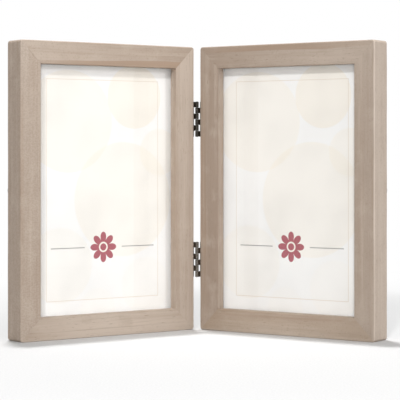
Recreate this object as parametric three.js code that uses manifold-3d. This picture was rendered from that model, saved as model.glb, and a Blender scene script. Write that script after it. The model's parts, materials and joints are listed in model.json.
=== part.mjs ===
// A hinged double picture frame: two mitred wooden frames that stand open like a book.
// Units are millimetres and degrees. +Z is up, +X is to the viewer's right, and the glass faces -Y.
//
// Each frame is built flat inside its own group. There the origin is the axis of the hinge pin at
// the foot of the frame, +x runs from the hinge to the outer edge, +y from the front to the back,
// and +z up. The left frame is the right one mirrored. Both groups are turned to stand the book up.

import * as THREE from "three";
import { mergeVertices } from "three/addons/utils/BufferGeometryUtils.js";
import Module from "manifold-3d";

const wasm = await Module();
wasm.setup();

// The photograph that each frame holds
const PHOTO_WIDTH = 101.6;
const PHOTO_HEIGHT = 152.4;

// The wooden moulding
const LIP = 3.6; // overlap of the lip on each edge of the photograph
const LIP_DEPTH = 5.5; // front face back to the seat of the glass
const POCKET_CLEARANCE = 0.6; // edge of the glass to the wall of the pocket
const WALL = 9.1; // wood outside the pocket
const DEPTH = 15; // front face to back face
const FRONT_EASE = 0.4; // radius of the sanded front outer edge
const SIGHT_EASE = 0.25; // radius of the sanded edge around the opening
const BACK_EASE = 0.5; // radius of the sanded back outer edge
const CORNER_ROUND = 1.6; // radius of the four sanded corners

// What lies in the pocket, from the front to the back; the filler card takes up what is left
const GLASS = 2;
const INSERT = 0.35;
const BOARD = 2.5;
const VELOUR = 0.4;
const BACK_INSET = 0.2; // the velour lies this far inside the back of the frame

// Clearances
const SEAT = 0.1; // between two pieces that rest on each other
const MITRE_GAP = 0.08; // glue line of a mitre
const PIN_PLAY = 0.06; // hinge pin to the bore of a knuckle
const TURN_PLAY = 0.25; // screw to the hole of its turn button

// Corner nails: steel strips bent to a right angle and pressed across the mitres
const NAIL_LEG = 5;
const NAIL_SHEET = 0.6;
const NAIL_HEIGHT = 8;
const NAIL_INSET = 3.4; // outer face in to the bend of the nail
const NAIL_SUNK = 0.3; // below the back of the frame

// Turn buttons, one in the middle of each edge, and their pan head screws
const BUTTON_LENGTH = 21;
const BUTTON_WIDTH = 8;
const BUTTON_SHEET = 1;
const BUTTON_SCREW_RADIUS = 1.1;
const BUTTON_SCREW_LENGTH = 9;
const PAN_RADIUS = 2.6;
const PAN_HEIGHT = 1.5;

// Hinges: two leaves of rolled sheet on a steel pin
const HINGE_LENGTH = 21.3;
const HINGE_INSET = 32.6; // end of the frame to the end of the hinge
const HINGE_DROP = 0.6; // both hinges are screwed on this much lower than that
const KNUCKLES = 6;
const KNUCKLE_GAP = 0.15;
const LEAF_SHEET = 0.5;
const LEAF_WIDTH = 9; // part of the leaf that lies on the side of the frame
const LEAF_CORNER = 1;
const PIN_RADIUS = 0.5;
const PIN_PROUD = 0.2; // pin end past the last knuckle
const PIN_AHEAD = 1.6; // pin axis in front of the front face
const NOTCH_BACK = 0.8; // the notches between knuckles reach this far behind the front face

// Countersunk hinge screws, two in each leaf
const HINGE_SCREW_SPACING = 13;
const HINGE_SCREW_RADIUS = 0.8;
const HINGE_SCREW_LENGTH = 7;
const CONE_RADIUS = 1.6;
const CONE_HEIGHT = 0.8;

// Cross recess of a screw, as shares of its head's radius and height
const RECESS_SPAN = 1.15;
const RECESS_SLOT = 0.28;
const RECESS_DEPTH = 0.5;

// How the book stands: each frame is turned this far towards the viewer
const STAND_YAW = 35.7;

// Fineness of round stretches, and working values for the cuts
const ARC_STEPS = 2; // half the number of chords in one arc of an outline
const ROUND_SIDES = 16;
const WELD = 1e-4;
const OVERCUT = 1; // a cutter reaches this far past what it cuts

// Sizes that follow from the ones above
const frameWidth = PHOTO_WIDTH + 2 * (POCKET_CLEARANCE + WALL);
const frameHeight = PHOTO_HEIGHT + 2 * (POCKET_CLEARANCE + WALL);
const faceWidth = WALL + POCKET_CLEARANCE + LIP;
const boreRadius = PIN_RADIUS + PIN_PLAY;
const knuckleRadius = boreRadius + LEAF_SHEET;
const pinToSide = knuckleRadius + SEAT;
const notchDepth = PIN_AHEAD + NOTCH_BACK;
const knucklePitch = HINGE_LENGTH / KNUCKLES;
const hingeOffset = frameHeight / 2 - HINGE_INSET - HINGE_LENGTH / 2; // middle of the frame to a hinge
const quarterTurn = Math.PI / 2;

const finish = (color, roughness, metalness = 0) =>
  new THREE.MeshStandardMaterial({ color, roughness, metalness, flatShading: true });
const greyWashedWood = finish(0xbaa898, 0.62);
const clearGlass = finish(0xf4f8f6, 0.04);
clearGlass.transparent = true;
clearGlass.opacity = 0.25;
const insertPaper = finish(0xf7f3ea, 0.75);
const fillerCard = finish(0xb08d62, 0.9);
const hardboard = finish(0x5d4330, 0.8);
const blackVelour = finish(0x17161a, 1);
const zincSteel = finish(0xb9bcc0, 0.38, 1);
const nailSteel = finish(0x8d9094, 0.5, 1);
const darkSteel = finish(0x4a4642, 0.45, 1);

// Boolean work

function solidOf(geometry) {
  const shell = new THREE.BufferGeometry();
  shell.setAttribute("position", geometry.getAttribute("position"));
  shell.setIndex(geometry.getIndex());
  const welded = mergeVertices(shell, WELD);
  const mesh = new wasm.Mesh({
    numProp: 3,
    vertProperties: welded.getAttribute("position").array,
    triVerts: new Uint32Array(welded.getIndex().array),
  });
  return new wasm.Manifold(mesh);
}

function geometryOf(solid) {
  const { vertProperties, triVerts } = solid.getMesh();
  const geometry = new THREE.BufferGeometry();
  geometry.setAttribute("position", new THREE.BufferAttribute(vertProperties, 3));
  geometry.setIndex(new THREE.BufferAttribute(triVerts, 1));
  return geometry;
}

const cut = (blank, ...tools) =>
  geometryOf(tools.reduce((solid, tool) => solid.subtract(solidOf(tool)), solidOf(blank)));
const join = (first, ...others) =>
  geometryOf(others.reduce((solid, other) => solid.add(solidOf(other)), solidOf(first)));
const keepInside = (blank, ...bounds) =>
  geometryOf(bounds.reduce((solid, bound) => solid.intersect(solidOf(bound)), solidOf(blank)));

// Basic forms

const extrude = (shape, depth, curveSegments = ARC_STEPS) =>
  new THREE.ExtrudeGeometry(shape, { depth, bevelEnabled: false, curveSegments });

// An outline drawn in x and z becomes a slab between two depths.
const slab = (shape, front, back) =>
  extrude(shape, back - front)
    .rotateX(quarterTurn)
    .translate(0, back, 0);

// An outline drawn in y and z becomes a plate between two places along x.
const yAndZ = new THREE.Matrix4().makeBasis(
  new THREE.Vector3(0, 1, 0),
  new THREE.Vector3(0, 0, 1),
  new THREE.Vector3(1, 0, 0),
);
const plate = (shape, start, end) =>
  extrude(shape, end - start)
    .applyMatrix4(yAndZ)
    .translate(start, 0, 0);

const outline = (points) => new THREE.Shape(points.map(([x, y]) => new THREE.Vector2(x, y)));

function named(name, geometry, material) {
  const mesh = new THREE.Mesh(geometry, material);
  mesh.name = name;
  return mesh;
}

// Screws stand upright on y: the shank points to -y. The seat of a pan head and the flat top of a
// countersunk head lie at y = 0.

function crossRecess(headRadius, top, depth) {
  const bar = new THREE.BoxGeometry(RECESS_SPAN * headRadius, 2 * depth, RECESS_SLOT * headRadius);
  bar.translate(0, top, 0);
  return join(bar, bar.clone().rotateY(quarterTurn));
}

function panHeadScrew() {
  const profile = new THREE.Path();
  profile.moveTo(0, -BUTTON_SCREW_LENGTH);
  profile.lineTo(BUTTON_SCREW_RADIUS, 2 * BUTTON_SCREW_RADIUS - BUTTON_SCREW_LENGTH);
  profile.lineTo(BUTTON_SCREW_RADIUS, 0);
  profile.lineTo(PAN_RADIUS, 0);
  profile.quadraticCurveTo(PAN_RADIUS, PAN_HEIGHT, 0, PAN_HEIGHT);
  const body = new THREE.LatheGeometry(profile.getPoints(2 * ARC_STEPS), ROUND_SIDES);
  return cut(body, crossRecess(PAN_RADIUS, PAN_HEIGHT, RECESS_DEPTH * PAN_HEIGHT));
}

// The outline of a countersunk screw from its tip to the rim of its head, or of its hole if grown
const countersunkProfile = (grow) => [
  new THREE.Vector2(0, -HINGE_SCREW_LENGTH - grow),
  new THREE.Vector2(HINGE_SCREW_RADIUS + grow, 2 * HINGE_SCREW_RADIUS - HINGE_SCREW_LENGTH),
  new THREE.Vector2(HINGE_SCREW_RADIUS + grow, -CONE_HEIGHT),
  new THREE.Vector2(CONE_RADIUS + grow, 0),
];

function countersunkScrew() {
  const points = [...countersunkProfile(0), new THREE.Vector2(0, 0)];
  const body = new THREE.LatheGeometry(points, ROUND_SIDES);
  return cut(body, crossRecess(CONE_RADIUS, 0, RECESS_DEPTH * CONE_HEIGHT));
}

function countersunkHole() {
  const rim = new THREE.Vector2(CONE_RADIUS + SEAT, OVERCUT);
  const points = [...countersunkProfile(SEAT), rim, new THREE.Vector2(0, OVERCUT)];
  return new THREE.LatheGeometry(points, ROUND_SIDES);
}

// One edge of a frame is modelled as a bottom edge: it lies along x with its middle at x = 0, its
// front at y = 0 and its outer face at z = 0. Both ends are alike, so +1 and -1 name them.

const ends = [-1, 1];

// The moulding's section, drawn with the depth across and the way in from the outer face upwards
function mouldingSection() {
  const section = new THREE.Shape();
  section.absarc(FRONT_EASE, FRONT_EASE, FRONT_EASE, Math.PI, 1.5 * Math.PI);
  section.absarc(DEPTH - BACK_EASE, BACK_EASE, BACK_EASE, 1.5 * Math.PI, 2 * Math.PI);
  section.lineTo(DEPTH, WALL);
  section.lineTo(LIP_DEPTH, WALL);
  section.lineTo(LIP_DEPTH, faceWidth);
  section.absarc(SIGHT_EASE, faceWidth - SIGHT_EASE, SIGHT_EASE, quarterTurn, Math.PI);
  return section;
}

// All that lies between the two mitres of an edge
function mitredLength(length) {
  const half = length / 2 - MITRE_GAP / Math.SQRT2;
  const low = -OVERCUT;
  const high = faceWidth + OVERCUT;
  const corners = [
    [low - half, low],
    [half - low, low],
    [half - high, high],
    [high - half, high],
  ];
  return slab(outline(corners), -OVERCUT, DEPTH + OVERCUT);
}

// All that lies inside the sanded corners at the two ends of an edge
function sandedCorners(length) {
  const centre = length / 2 - CORNER_ROUND;
  const high = faceWidth + OVERCUT;
  const shape = new THREE.Shape();
  shape.moveTo(-length / 2, high);
  shape.lineTo(-length / 2, CORNER_ROUND);
  shape.absarc(-centre, CORNER_ROUND, CORNER_ROUND, Math.PI, 1.5 * Math.PI);
  shape.absarc(centre, CORNER_ROUND, CORNER_ROUND, 1.5 * Math.PI, 2 * Math.PI);
  shape.lineTo(length / 2, high);
  return slab(shape, -OVERCUT, DEPTH + OVERCUT);
}

// A corner nail at one end of an edge, or its slot if grown: one leg lies along this edge, the
// other along the next one.
function cornerNail(length, end, grow, back) {
  const near = -grow;
  const sheet = NAIL_SHEET + grow;
  const tip = NAIL_LEG + grow;
  const bend = length / 2 - NAIL_INSET;
  const strip = [
    [near, near],
    [tip, near],
    [tip, sheet],
    [sheet, sheet],
    [sheet, tip],
    [near, tip],
  ];
  const placed = strip.map(([along, inward]) => [end * (bend - along), NAIL_INSET + inward]);
  return slab(outline(placed), DEPTH - NAIL_SUNK - NAIL_HEIGHT - grow, back);
}

// The pivot of a turn button lies in the middle of the wood behind the pocket's wall.
const pivotInset = WALL / 2;
const buttonSeat = DEPTH + SEAT;
const panSeat = buttonSeat + BUTTON_SHEET + SEAT;

function turnButtonHole() {
  const radius = BUTTON_SCREW_RADIUS + SEAT;
  const depth = BUTTON_SCREW_LENGTH + SEAT;
  const hole = new THREE.CylinderGeometry(radius, radius, depth, ROUND_SIDES);
  return hole.translate(0, panSeat - depth / 2, pivotInset);
}

// Where the hinge screws enter an edge: along it (downwards, once that edge is turned upright),
// behind its front and out of its outer face
const hingeScrewBack = LEAF_WIDTH / 2;
const hingeScrewOut = boreRadius - pinToSide;
const hingeScrewPlaces = ends.flatMap((hinge) =>
  ends.map((screw) => hinge * hingeOffset + HINGE_DROP + (screw * HINGE_SCREW_SPACING) / 2),
);
const hingeScrewHoles = () =>
  hingeScrewPlaces.map((along) =>
    countersunkHole().rotateX(-quarterTurn).translate(along, hingeScrewBack, hingeScrewOut),
  );

function rail(length, carriesHinges) {
  const blank = plate(mouldingSection(), -length / 2, length / 2);
  const mitred = keepInside(blank, mitredLength(length), sandedCorners(length));
  const slots = ends.map((end) => cornerNail(length, end, SEAT, DEPTH + OVERCUT));
  const hingeHoles = carriesHinges ? hingeScrewHoles() : [];
  return cut(mitred, turnButtonHole(), ...slots, ...hingeHoles);
}

// A flat strip with round ends that turns about the middle of its outer end
function turnButton() {
  const radius = BUTTON_WIDTH / 2;
  const reach = BUTTON_LENGTH - BUTTON_WIDTH;
  const shape = new THREE.Shape();
  shape.absarc(0, 0, radius, -Math.PI, 0);
  shape.absarc(0, reach, radius, 0, Math.PI);
  const hole = new THREE.Path();
  hole.absarc(0, 0, BUTTON_SCREW_RADIUS + TURN_PLAY, 0, 2 * Math.PI);
  shape.holes.push(hole);
  return extrude(shape, BUTTON_SHEET, ROUND_SIDES / 2)
    .rotateX(quarterTurn)
    .translate(0, BUTTON_SHEET, 0);
}

const widthwise = { length: frameWidth, across: frameHeight };
const heightwise = { length: frameHeight, across: frameWidth };
const edges = [
  { edge: "bottom", rail: "bottom_rail", corner: "bottom_outer", turn: 0, ...widthwise },
  { edge: "outer", rail: "outer_stile", corner: "top_outer", turn: -quarterTurn, ...heightwise },
  { edge: "top", rail: "top_rail", corner: "top_hinge", turn: 2 * quarterTurn, ...widthwise },
  { edge: "hinge", rail: "hinge_stile", corner: "bottom_hinge", turn: quarterTurn, ...heightwise },
];

// An edge with the nail in the corner at its +x end, turned about the middle of the frame
function frameEdge(side, { edge, rail: railName, corner, turn, length, across }) {
  const railMesh = named(`${side}_${railName}`, rail(length, edge === "hinge"), greyWashedWood);
  const nailShape = cornerNail(length, 1, 0, DEPTH - NAIL_SUNK);
  const nail = named(`${side}_${corner}_corner_nail`, nailShape, nailSteel);
  const button = named(`${side}_${edge}_turn_button`, turnButton(), zincSteel);
  button.position.set(0, buttonSeat, pivotInset);
  const screw = named(`${side}_${edge}_button_screw`, panHeadScrew(), zincSteel);
  screw.position.set(0, panSeat, pivotInset);

  const outwards = new THREE.Group();
  outwards.position.z = -across / 2;
  outwards.add(railMesh, nail, button, screw);
  const turned = new THREE.Group();
  turned.rotation.y = turn;
  turned.add(outwards);
  return turned;
}

// The sheets in the pocket share the photograph's outline.

const glassFront = LIP_DEPTH + SEAT;
const insertFront = glassFront + GLASS + SEAT;
const fillerFront = insertFront + INSERT + SEAT;
const velourFront = DEPTH - BACK_INSET - VELOUR;
const boardFront = velourFront - SEAT - BOARD;
const filler = boardFront - SEAT - fillerFront;

const sheets = [
  { name: "glass", front: glassFront, thickness: GLASS, material: clearGlass },
  { name: "photo_insert", front: insertFront, thickness: INSERT, material: insertPaper },
  { name: "filler_card", front: fillerFront, thickness: filler, material: fillerCard },
  { name: "backing_board", front: boardFront, thickness: BOARD, material: hardboard },
  { name: "velour_sheet", front: velourFront, thickness: VELOUR, material: blackVelour },
];

function pocketSheet(side, { name, front, thickness, material }) {
  const sheet = new THREE.BoxGeometry(PHOTO_WIDTH, thickness, PHOTO_HEIGHT);
  const mesh = named(`${side}_${name}`, sheet, material);
  mesh.position.y = front + thickness / 2;
  return mesh;
}

// A hinge is built about its pin: the pin stands on z with the middle of the hinge at z = 0.

const hinges = [
  { name: "upper", height: frameHeight / 2 + hingeOffset - HINGE_DROP },
  { name: "lower", height: frameHeight / 2 - hingeOffset - HINGE_DROP },
];

// One knuckle: the sheet comes forward along the side of the frame and rolls around the pin.
function knuckle(index) {
  const meet = Math.acos(boreRadius / knuckleRadius);
  const section = new THREE.Shape();
  section.moveTo(knuckleRadius, notchDepth + LEAF_SHEET);
  section.lineTo(knuckleRadius, 0);
  section.absarc(0, 0, knuckleRadius, 0, meet, true);
  section.lineTo(boreRadius, notchDepth + LEAF_SHEET);
  const bore = new THREE.Path();
  bore.absarc(0, 0, boreRadius, 0, 2 * Math.PI);
  section.holes.push(bore);
  const bottom = HINGE_LENGTH / 2 - (index + 1) * knucklePitch + KNUCKLE_GAP / 2;
  return extrude(section, knucklePitch - KNUCKLE_GAP, ROUND_SIDES / 2).translate(0, 0, bottom);
}

// A leaf has every second knuckle, counted down from its first one.
function hingeLeaf(firstKnuckle) {
  const half = HINGE_LENGTH / 2;
  const back = PIN_AHEAD + LEAF_WIDTH;
  const shape = new THREE.Shape();
  shape.moveTo(notchDepth, -half);
  shape.lineTo(back - LEAF_CORNER, -half);
  shape.absarc(back - LEAF_CORNER, LEAF_CORNER - half, LEAF_CORNER, -quarterTurn, 0);
  shape.absarc(back - LEAF_CORNER, half - LEAF_CORNER, LEAF_CORNER, 0, quarterTurn);
  shape.lineTo(notchDepth, half);
  const blank = plate(shape, boreRadius, knuckleRadius);
  const knuckles = [];
  for (let index = firstKnuckle; index < KNUCKLES; index += 2) {
    knuckles.push(knuckle(index));
  }
  const holes = ends.map((end) =>
    countersunkHole()
      .rotateZ(quarterTurn)
      .translate(boreRadius, PIN_AHEAD + hingeScrewBack, (end * HINGE_SCREW_SPACING) / 2),
  );
  return cut(join(blank, ...knuckles), ...holes);
}

function hingeHalf(side, hinge, firstKnuckle) {
  const half = new THREE.Group();
  half.position.z = hinge.height;
  half.add(named(`${hinge.name}_hinge_${side}_leaf`, hingeLeaf(firstKnuckle), darkSteel));
  ends.forEach((end, index) => {
    const screw = named(`${hinge.name}_hinge_${side}_screw_${index + 1}`, countersunkScrew(), darkSteel);
    screw.rotation.z = quarterTurn;
    screw.position.set(boreRadius, PIN_AHEAD + hingeScrewBack, (end * HINGE_SCREW_SPACING) / 2);
    half.add(screw);
  });
  return half;
}

function hingePin(hinge) {
  const length = HINGE_LENGTH + 2 * PIN_PROUD;
  const cylinder = new THREE.CylinderGeometry(PIN_RADIUS, PIN_RADIUS, length, ROUND_SIDES);
  const pin = named(`${hinge.name}_hinge_pin`, cylinder.rotateX(quarterTurn), darkSteel);
  pin.position.z = hinge.height;
  return pin;
}

// A whole frame with its halves of the hinges, flat and then turned about the pin

function pictureFrame(side, mirror, firstKnuckle) {
  const middle = new THREE.Group();
  middle.position.set(pinToSide + frameWidth / 2, PIN_AHEAD, frameHeight / 2);
  middle.add(...edges.map((edge) => frameEdge(side, edge)));
  middle.add(...sheets.map((sheet) => pocketSheet(side, sheet)));

  const frame = new THREE.Group();
  frame.scale.x = mirror;
  frame.rotation.z = THREE.MathUtils.degToRad(-mirror * STAND_YAW);
  frame.add(middle, ...hinges.map((hinge) => hingeHalf(side, hinge, firstKnuckle)));
  return frame;
}

const book = new THREE.Group();
book.add(pictureFrame("left", -1, 0), pictureFrame("right", 1, 1), ...hinges.map(hingePin));

// The origin lies under the middle of the standing book.
const extent = new THREE.Box3().setFromObject(book, true);
const centre = extent.getCenter(new THREE.Vector3());
book.position.set(-centre.x, -centre.y, -extent.min.z);

const doubleFrame = new THREE.Group();
doubleFrame.add(book);

export default doubleFrame;
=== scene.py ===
import json
import math
import random

import bmesh
import bpy
from mathutils import Matrix, Vector


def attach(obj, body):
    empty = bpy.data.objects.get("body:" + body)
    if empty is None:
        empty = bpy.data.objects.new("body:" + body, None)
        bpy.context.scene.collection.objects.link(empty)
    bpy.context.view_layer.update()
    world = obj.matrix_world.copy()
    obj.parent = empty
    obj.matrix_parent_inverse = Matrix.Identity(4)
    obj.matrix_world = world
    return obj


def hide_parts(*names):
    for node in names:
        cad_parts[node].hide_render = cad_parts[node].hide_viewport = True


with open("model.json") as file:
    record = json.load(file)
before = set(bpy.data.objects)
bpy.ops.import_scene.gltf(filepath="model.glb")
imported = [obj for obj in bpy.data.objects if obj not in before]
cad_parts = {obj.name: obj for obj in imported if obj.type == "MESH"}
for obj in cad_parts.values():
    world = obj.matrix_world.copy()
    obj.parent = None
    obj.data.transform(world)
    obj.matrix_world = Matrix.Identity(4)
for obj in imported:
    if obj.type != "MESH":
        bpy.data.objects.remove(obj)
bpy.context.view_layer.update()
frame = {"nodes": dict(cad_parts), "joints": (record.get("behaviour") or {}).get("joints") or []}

# The moulding. Each frame is four lengths of plain hardwood, rebated at the back for the glass,
# mitred and glued at the corners, then sanded by hand so that no edge is quite straight. The wood
# is washed with a thin grey stain that lets the grain and its brown late wood show through.

# Sizes are in millimetres, and this makes metres of them.
MM = 0.001
SIDES = {"left": -1, "right": 1}
joints = {joint["name"]: joint for joint in frame["joints"]}
pin_foot = Vector((*joints["fold"]["pos_m"][:2], 0))
back_x, back_y, _ = joints["right_top_button_turn"]["axis"]
yaw = math.atan2(back_x, back_y)


def stand(side):
    """From a frame's flat axes (x right, y front to back, z up, the pin at the origin) to the room."""
    return Matrix.Translation(pin_foot) @ Matrix.Rotation(-SIDES[side] * yaw, 4, "Z")


def box_in(matrix, node):
    """The lowest and highest corner of a CAD node in the axes of a matrix."""
    to_axes = matrix.inverted()
    points = [(to_axes @ vertex.co) / MM for vertex in frame["nodes"][node].data.vertices]
    low = Vector([min(point[axis] for point in points) for axis in range(3)])
    high = Vector([max(point[axis] for point in points) for axis in range(3)])
    return low, high


def shift(x, y, z):
    """A move by millimetres."""
    return Matrix.Translation(Vector((x, y, z)) * MM)


# One row for each edge: its length of wood, and how many degrees it is turned from a bottom edge.
EDGES = {
    "bottom": ("bottom_rail", 0),
    "outer": ("outer_stile", -90),
    "top": ("top_rail", 180),
    "hinge": ("hinge_stile", 90),
}


def edge_size(side, edge):
    """The length along an edge, and the size of the frame across it."""
    stiles = [box_in(stand(side), f"{side}_{stile}") for stile in ("outer_stile", "hinge_stile")]
    width = max(high.x for _, high in stiles) - min(low.x for low, _ in stiles)
    height = box_in(stand(side), f"{side}_top_rail")[1].z
    return (width, height) if edge in ("top", "bottom") else (height, width)


def edge_matrix(side, edge):
    """From an edge's own axes (x along it, y front to back, z in from its outer face) to the room."""
    across = edge_size(side, edge)[1]
    low, high = box_in(stand(side), f"{side}_bottom_rail")
    middle = shift((low.x + high.x) / 2, low.y, edge_size(side, "hinge")[0] / 2)
    turn = Matrix.Rotation(math.radians(SIDES[side] * EDGES[edge][1]), 4, "Y")
    return stand(side) @ middle @ turn @ shift(0, 0, -across / 2)


# The section: a wall, and a lip that stands in from it at the front. Three edges are eased, the front and
# back ones outside and the sight edge inside, and the stain pools a little along the sight edge.
WALL = 9.1
LIP_DEPTH = 5.5
FRONT_EASE = 0.4
SIGHT_EASE = 0.25
BACK_EASE = 0.5
EASE_FADE = 0.35
EASE_STEPS = 5
POOL_WIDTH = 1.8
POOL_TONE = 0.15


def arc(centre, radius, start_deg, end_deg, steps):
    """Points on an arc, from its start to its end."""
    angles = [math.radians(start_deg + (end_deg - start_deg) * i / steps) for i in range(steps + 1)]
    return [(centre[0] + radius * math.cos(a), centre[1] + radius * math.sin(a)) for a in angles]


def moulding_section(face, depth, front, sight, back):
    """The section as (in from the outer face, back from the front, share of rubbed edge and painted
    highlight).
    """
    section = [(*point, 1.0) for point in arc((front, front), front, 180, 270, EASE_STEPS)]
    section += [(front + EASE_FADE, 0, 0.0), (face / 2, 0, 0.0), (face - POOL_WIDTH, 0, 0.0)]
    section += [(*point, 0.0) for point in arc((face - sight, sight), sight, 270, 360, EASE_STEPS)]
    section += [(face, sight + EASE_FADE, 0.0), (face, LIP_DEPTH, 0.0)]
    section += [(WALL, LIP_DEPTH, 0.0), (WALL, depth, 0.0)]
    section += [(WALL / 2, depth, 0.0), (back + EASE_FADE, depth, 0.0)]
    section += [(*point, 1.0) for point in arc((back, depth - back), back, 90, 180, EASE_STEPS)]
    section += [(0, depth - back - EASE_FADE, 0.0), (0, depth / 2, 0.0), (0, front + EASE_FADE, 0.0)]
    return section


# The sections stand a few millimetres apart along a length, and close together round its sanded corners.
START, END = -1, 1
STATION_STEP = 5
MITRE_GAP = 0.02
MITRE_DEG = 45
CORNER_ROUND = 1.6
CORNER_STEPS = 5


def rail_stations(length):
    """Where the sections stand: (place from START to END, how far the outer corner is sanded in, and how
    far the section stands back from the mitre for that)."""
    corner = []
    for step in range(CORNER_STEPS):
        angle = math.radians(MITRE_DEG + (90 - MITRE_DEG) * step / CORNER_STEPS)
        inset = CORNER_ROUND * (1 - math.sin(angle))
        corner.append((inset, CORNER_ROUND * (1 - math.cos(angle)) - inset))
    count = round(length / STATION_STEP)
    stations = [(START, *pair) for pair in corner]
    stations += [(2 * i / count - 1, 0.0, CORNER_ROUND) for i in range(count + 1)]
    return stations + [(END, *pair) for pair in reversed(corner)]


# Hand sanding leaves a slow and a quicker waver along each eased edge: the slow one's pace in radians for
# each millimetre and where it starts, how much quicker the other is, and the least and the added share
# of the ease.
WAVER_PACE = (0.04, 0.12)
WAVER_START = (0, 6.3)
WAVER_QUICKER = 2.7
EASE_LEAST = 1.05
EASE_WAVER = 0.6


def sanded_eases(place, beats):
    """How far the front, sight and back edges are eased at a place along a length."""
    eases = []
    for ease, (pace, start) in zip((FRONT_EASE, SIGHT_EASE, BACK_EASE), beats):
        sway = math.sin(place * pace + start) + math.sin(WAVER_QUICKER * place * pace + 2 * start)
        eases.append(ease * (EASE_LEAST + EASE_WAVER * (2 + sway) / 4))
    return eases


# The figure of each length: which way its rings grow, where one ends across the face and how wide they
# are, how brown the late wood and the line at its end are, how clearly the flecks of its rays show, and
# how yellow its wood is. The rings lean back from the face.
FIGURES = {
    "left_bottom_rail": (1, 5.2, 12, 0.08, 0.6, 0.7, 0.2),
    "left_outer_stile": (1, 2.2, 16, 0.2, 0.1, 1.05, 0.0),
    "left_top_rail": (-1, 10.0, 14, 0.8, 0.2, 0.85, 0.2),
    "left_hinge_stile": (1, 1.4, 14, 0.35, 0.1, 0.7, 0.0),
    "right_bottom_rail": (1, 12.9, 20, 0.5, 0.2, 0.85, 0.5),
    "right_outer_stile": (-1, 7.5, 13, 0.2, 0.1, 0.85, 0.0),
    "right_top_rail": (1, 3.4, 16, 0.7, 0.2, 0.8, 0.15),
    "right_hinge_stile": (1, 4.8, 16, 0.45, 0.3, 0.7, 0.0),
}
RING_LEAN = 0.35

# How dark each length is on its face near its start, in its middle and near its end, how dark on the
# sides, and how far its edges are made paler. These tones hold the stain and painted light together: the
# bottom rails are painted paler where light from below is weak, the outer sides and inner walls are
# painted lighter or darker as light falls on them, and the paler edge of the right outer stile is partly a
# painted highlight.
STAINS_AND_PAINTED_LIGHT = {
    "left_bottom_rail": (0.33, 0.04, 0.24, 0.15, 0.75),
    "left_outer_stile": (0.34, 0.6, 0.7, 0.64, 0.3),
    "left_top_rail": (0.72, 0.48, 0.3, 0.45, 0.75),
    "left_hinge_stile": (0.6, 0.48, 0.22, 0.65, 0.75),
    "right_bottom_rail": (0.62, 0.05, 0.58, 0.35, 0.75),
    "right_outer_stile": (0.64, 0.69, 0.52, 0.3, 0.95),
    "right_top_rail": (0.27, 0.47, 0.78, 0.48, 0.75),
    "right_hinge_stile": (0.85, 0.95, 1.05, 0.57, 0.75),
}

# The stain is rubbed across every joint but one: how far from it the figure starts to fade, how much of
# the figure goes, and how steeply the tones of the two lengths meet.
UNRUBBED = (("left_top_rail", START), ("left_hinge_stile", END))
RUBBED_ACROSS = 45
RUBBED_OUT = 0.6
RUBBED_FALL = 3


def joint_tone(side, edge, end):
    """How dark the wood is at a joint, its stain and painted light together: half way between the two
    lengths that meet there.
    """
    around = list(EDGES)
    other = around[(around.index(edge) + end * SIDES[side]) % len(around)]
    own, its = (STAINS_AND_PAINTED_LIGHT[f"{side}_{EDGES[name][0]}"] for name in (edge, other))
    return (own[0 if end == START else 2] + its[2 if end == START else 0]) / 2


SHARP_DEG = 35


def finish_faces(mesh, sharp_deg=SHARP_DEG):
    """Smooth faces, with an edge wherever two meet at a sharp angle."""
    mesh.shade_smooth()
    mesh.set_sharp_from_angle(angle=math.radians(sharp_deg))
    return mesh


def mesh_from(bm, name, material, sharp_deg=SHARP_DEG):
    """A mesh in metres from one in millimetres."""
    bmesh.ops.recalc_face_normals(bm, faces=bm.faces)
    bm.transform(Matrix.Scale(MM, 4))
    mesh = bpy.data.meshes.new(name)
    bm.to_mesh(mesh)
    bm.free()
    mesh.materials.append(material)
    return finish_faces(mesh, sharp_deg)


def loft(bm, rings, closed):
    """Skins rings of points, each with as many points as the next. Open ends get a flat cap."""
    loops = [[bm.verts.new(point) for point in ring] for ring in rings]
    following = loops[1:] + loops[:1] if closed else loops[1:]
    for ring, other in zip(loops, following):
        for i in range(len(ring)):
            j = (i + 1) % len(ring)
            bm.faces.new((ring[i], ring[j], other[j], other[i]))
    if not closed:
        bm.faces.new(loops[0])
        bm.faces.new(loops[-1])
    return loops


# Each length is sawn from another place of one large plank.
PLANK_SPREAD = (0, 900)


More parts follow.
